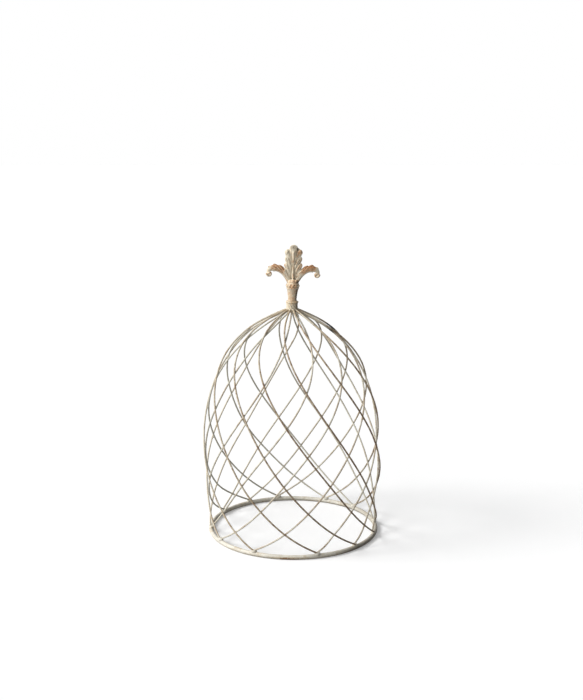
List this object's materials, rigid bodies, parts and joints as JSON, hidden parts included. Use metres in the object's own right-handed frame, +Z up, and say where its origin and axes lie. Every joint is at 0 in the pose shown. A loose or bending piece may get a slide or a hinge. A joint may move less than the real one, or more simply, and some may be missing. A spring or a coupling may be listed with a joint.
{
  "type": "garden cloche",
  "caption": "Openwork wire dome that covers a plant, on a round base ring, with a collar and a cast leaf finial on top.",
  "frame": {"origin": "middle of the footprint's bounding box, on the plane that the base ring rests on", "axes": "+Z up along the dome's axis to the finial, +X to the right along the finial's arms, +Y to the back"},
  "size_m": [0.3191, 0.3187, 0.5233],
  "materials": {
    "ring_paint": "matt aged khaki cream paint, worn through in places",
    "outer_wire_paint": "matt aged paint over rust brown",
    "inner_wire_paint": "matt aged beige paint over rust brown",
    "collar_paint": "matt aged cream paint",
    "finial_paint": "matt aged cream paint, rubbed to rust on the raised leafwork"
  },
  "bodies": {
    "root": {"base_ring": "ring_paint", "outer_wire_01": "outer_wire_paint", "outer_wire_02": "outer_wire_paint", "outer_wire_03": "outer_wire_paint", "outer_wire_04": "outer_wire_paint", "outer_wire_05": "outer_wire_paint", "outer_wire_06": "outer_wire_paint", "outer_wire_07": "outer_wire_paint", "outer_wire_08": "outer_wire_paint", "outer_wire_09": "outer_wire_paint", "outer_wire_10": "outer_wire_paint", "outer_wire_11": "outer_wire_paint", "outer_wire_12": "outer_wire_paint", "inner_wire_01": "inner_wire_paint", "inner_wire_02": "inner_wire_paint", "inner_wire_03": "inner_wire_paint", "inner_wire_04": "inner_wire_paint", "inner_wire_05": "inner_wire_paint", "inner_wire_06": "inner_wire_paint", "inner_wire_07": "inner_wire_paint", "inner_wire_08": "inner_wire_paint", "inner_wire_09": "inner_wire_paint", "inner_wire_10": "inner_wire_paint", "inner_wire_11": "inner_wire_paint", "inner_wire_12": "inner_wire_paint", "collar": "collar_paint", "finial": "finial_paint"}
  },
  "joints": []
}
